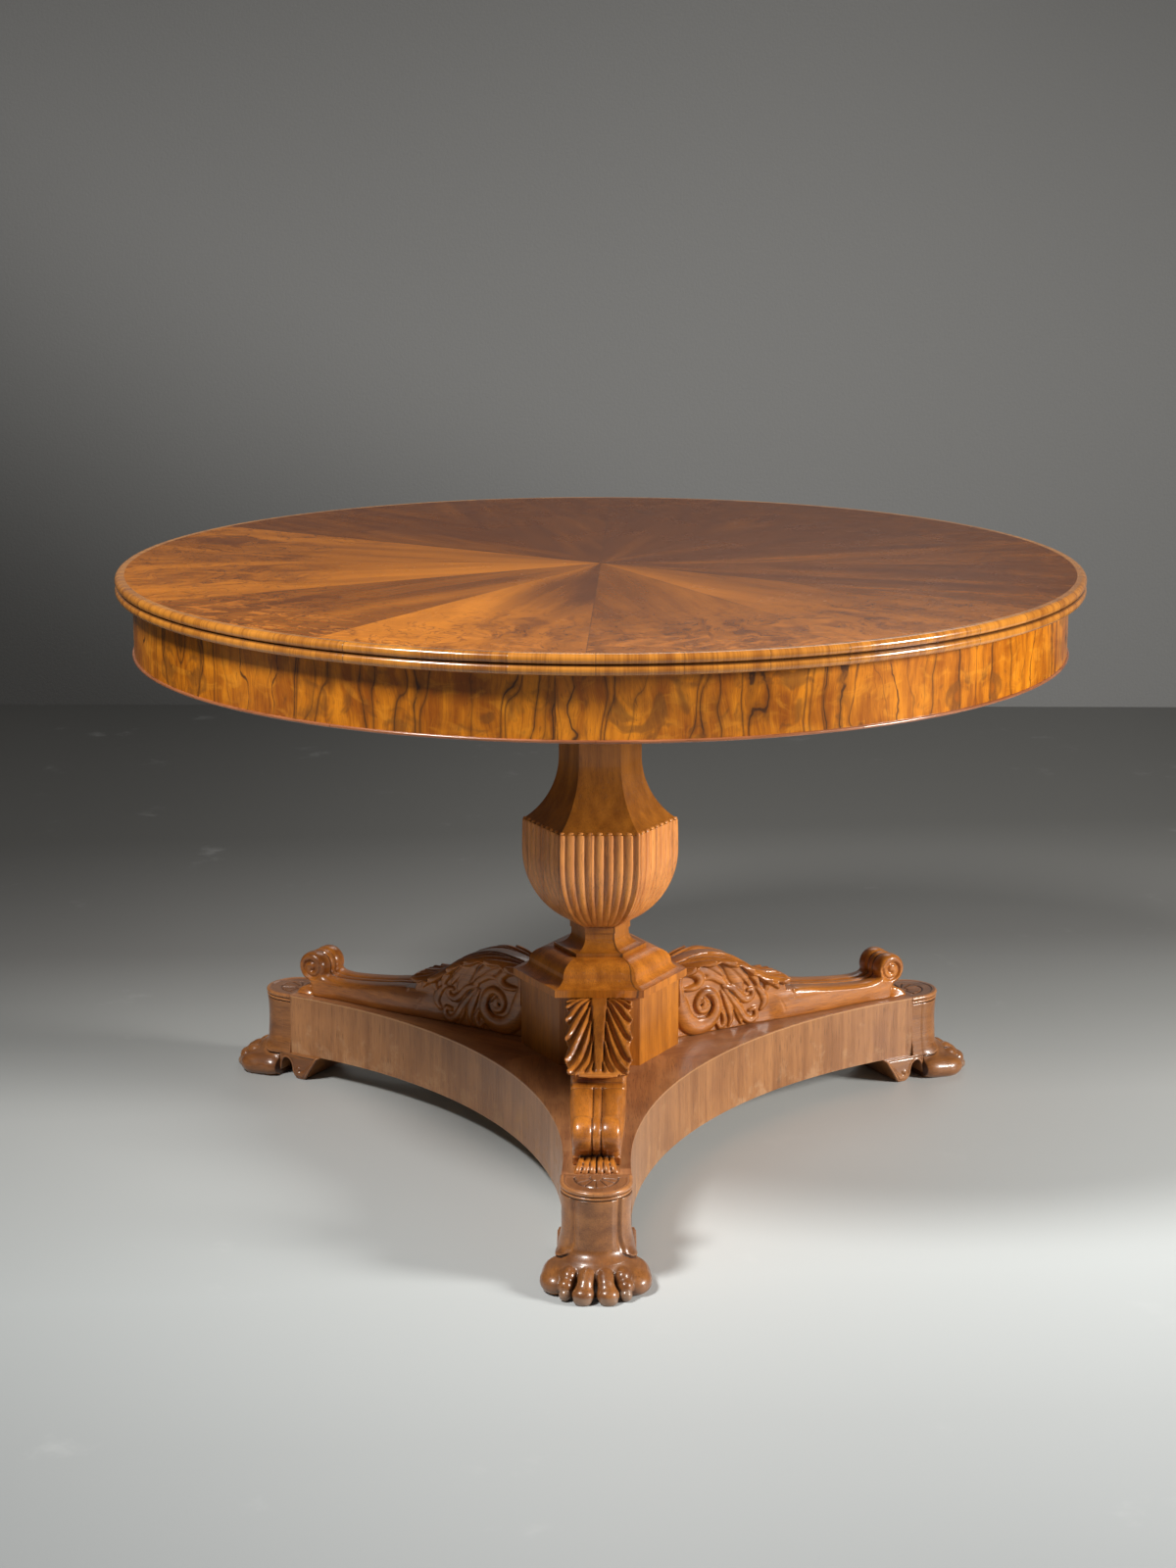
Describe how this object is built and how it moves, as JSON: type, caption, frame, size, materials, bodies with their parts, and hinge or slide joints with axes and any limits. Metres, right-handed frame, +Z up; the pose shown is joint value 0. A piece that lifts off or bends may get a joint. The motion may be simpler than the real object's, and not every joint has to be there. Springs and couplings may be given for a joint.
{
  "type": "centre table",
  "caption": "Round pedestal centre table: a veneered drum top on a faceted baluster column and a hollow-sided tripod plinth with carved scroll brackets and paw feet.",
  "frame": {"origin": "on the floor under the column's axis", "axes": "+Z up along the column; -Y towards the front arm of the plinth; +X to the right, seen from the front"},
  "size_m": [1.22, 1.22, 0.76],
  "materials": {
    "top_walnut": "figured walnut veneer, satin French polish",
    "edge_walnut": "cross-grain walnut, glossy polish",
    "frieze_walnut": "burr walnut veneer, glossy polish",
    "rim_walnut": "walnut bead, polished",
    "column_walnut": "plain walnut, satin polish",
    "reeded_walnut": "reeded walnut, satin polish",
    "plinth_top_walnut": "darkened walnut veneer, satin polish",
    "plinth_side_walnut": "upright-grain walnut facing, satin polish",
    "end_walnut": "carved walnut, glossy polish, dark in the recesses",
    "paw_walnut": "carved walnut, glossy, worn at the claws",
    "bracket_walnut": "carved walnut, glossy polish, dark in the recesses",
    "pine": "bare aged pine",
    "beech": "bare beech",
    "wrought_iron": "black wrought iron",
    "steel": "dull screw steel"
  },
  "bodies": {
    "root": {"top_veneer_1": "top_walnut", "top_veneer_2": "top_walnut", "top_veneer_3": "top_walnut", "top_veneer_4": "top_walnut", "top_veneer_5": "top_walnut", "top_veneer_6": "top_walnut", "top_veneer_7": "top_walnut", "top_veneer_8": "top_walnut", "top_veneer_9": "top_walnut", "top_veneer_10": "top_walnut", "top_veneer_11": "top_walnut", "top_veneer_12": "top_walnut", "edge_moulding": "edge_walnut", "frieze_veneer": "frieze_walnut", "frieze_rim_bead": "rim_walnut", "column_neck": "column_walnut", "column_waist": "column_walnut", "ogee_cap": "column_walnut", "block_faces": "column_walnut", "reeded_urn": "reeded_walnut", "plinth_top_veneer": "plinth_top_walnut", "plinth_side_1": "plinth_side_walnut", "plinth_side_2": "plinth_side_walnut", "plinth_side_3": "plinth_side_walnut", "end_block_front": "end_walnut", "end_block_right": "end_walnut", "end_block_left": "end_walnut", "end_cap_front": "end_walnut", "end_cap_right": "end_walnut", "end_cap_left": "end_walnut", "paw_foot_front": "paw_walnut", "paw_foot_right": "paw_walnut", "paw_foot_left": "paw_walnut", "heel_scroll_front": "paw_walnut", "heel_scroll_right": "paw_walnut", "heel_scroll_left": "paw_walnut", "scroll_bracket_front": "bracket_walnut", "scroll_bracket_right": "bracket_walnut", "scroll_bracket_left": "bracket_walnut", "top_core_boards": "pine", "frieze_course_upper": "pine", "frieze_course_lower": "pine", "bearer_long": "pine", "bearer_cross": "pine", "glue_blocks": "pine", "column_head_block": "pine", "block_core": "pine", "plinth_arm_front": "pine", "plinth_arm_right": "pine", "plinth_arm_left": "pine", "end_dowels": "beech", "tie_rod": "wrought_iron", "tie_rod_nuts": "wrought_iron", "tie_rod_washers": "wrought_iron", "bearer_screws": "steel", "head_screws": "steel", "foot_screws": "steel", "bracket_screws": "steel"}
  },
  "joints": []
}
